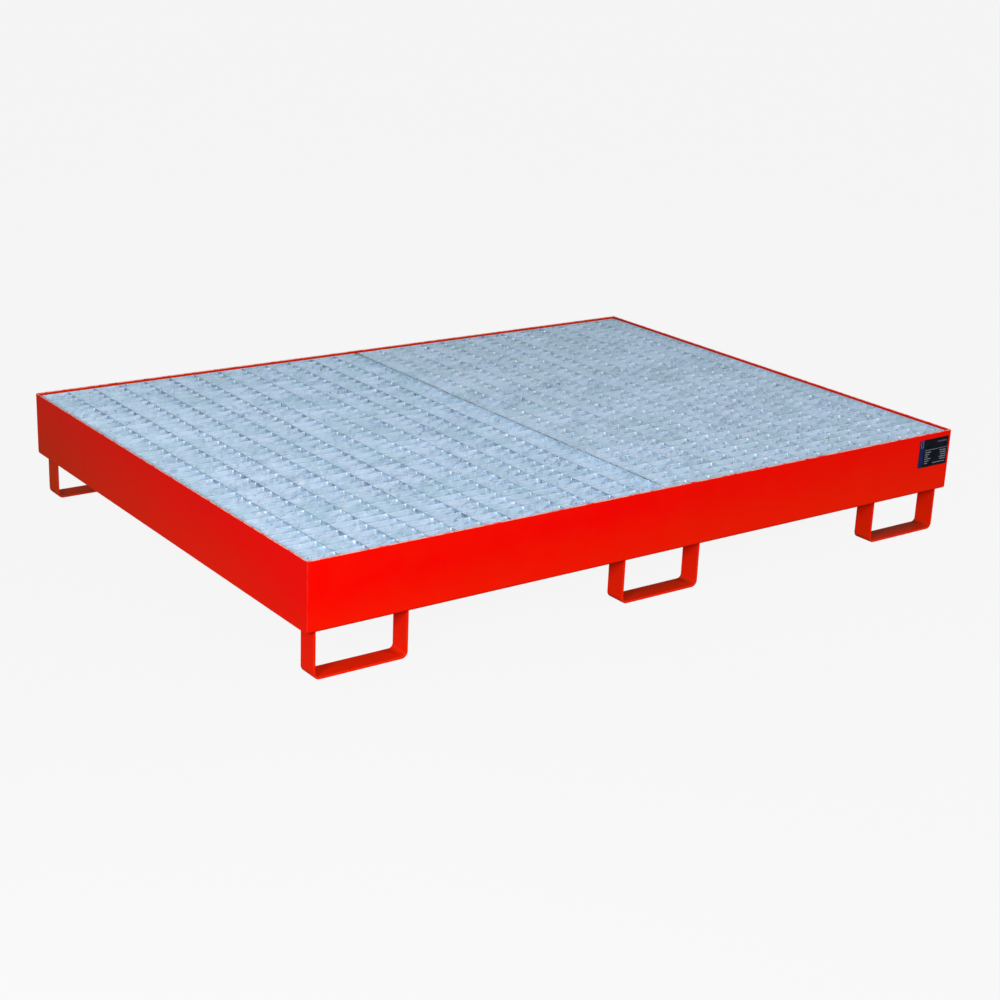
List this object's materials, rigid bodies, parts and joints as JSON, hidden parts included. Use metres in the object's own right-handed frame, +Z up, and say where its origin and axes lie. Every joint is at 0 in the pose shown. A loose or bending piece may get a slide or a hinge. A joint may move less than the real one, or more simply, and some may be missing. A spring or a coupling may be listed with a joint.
{
  "type": "spill containment pallet",
  "caption": "Rectangular steel spill containment tray on bent bar feet, with lift-out galvanised gratings over its sump.",
  "frame": {"origin": "on the floor, under the middle of the tray", "axes": "+X along the tray's length towards the end with the data plate, +Y from the long wall with the data plate to the opposite long wall, +Z up"},
  "size_m": [1.8, 1.3008, 0.255],
  "materials": {
    "red_coat": "smooth satin powder coat over steel sheet",
    "zinc": "hot-dip galvanised, pale blue grey with a fine spangle",
    "printed_plate": "glossy printed film with plain ruled fields"
  },
  "bodies": {
    "sump_tray": {"tray_sheet": "red_coat", "left_end_wall": "red_coat", "right_end_wall": "red_coat", "front_ledge": "red_coat", "rear_ledge": "red_coat", "left_ledge": "red_coat", "right_ledge": "red_coat", "beam_web": "red_coat", "beam_flange": "red_coat", "foot_front_left": "red_coat", "foot_front_middle": "red_coat", "foot_front_right": "red_coat", "foot_rear_left": "red_coat", "foot_rear_middle": "red_coat", "foot_rear_right": "red_coat", "data_plate": "printed_plate"},
    "left_grating": {"left_bearing_bars": "zinc", "left_cross_bars": "zinc", "left_front_banding": "zinc", "left_rear_banding": "zinc", "left_outer_banding": "zinc", "left_seam_banding": "zinc"},
    "right_grating": {"right_bearing_bars": "zinc", "right_cross_bars": "zinc", "right_front_banding": "zinc", "right_rear_banding": "zinc", "right_outer_banding": "zinc", "right_seam_banding": "zinc"}
  },
  "joints": [
    {"name": "left_grating_lift", "type": "slide", "parent": "sump_tray", "child": "left_grating", "axis": [0, 0, 1], "range_m": [0, 0.25]},
    {"name": "right_grating_lift", "type": "slide", "parent": "sump_tray", "child": "right_grating", "axis": [0, 0, 1], "range_m": [0, 0.25]}
  ]
}
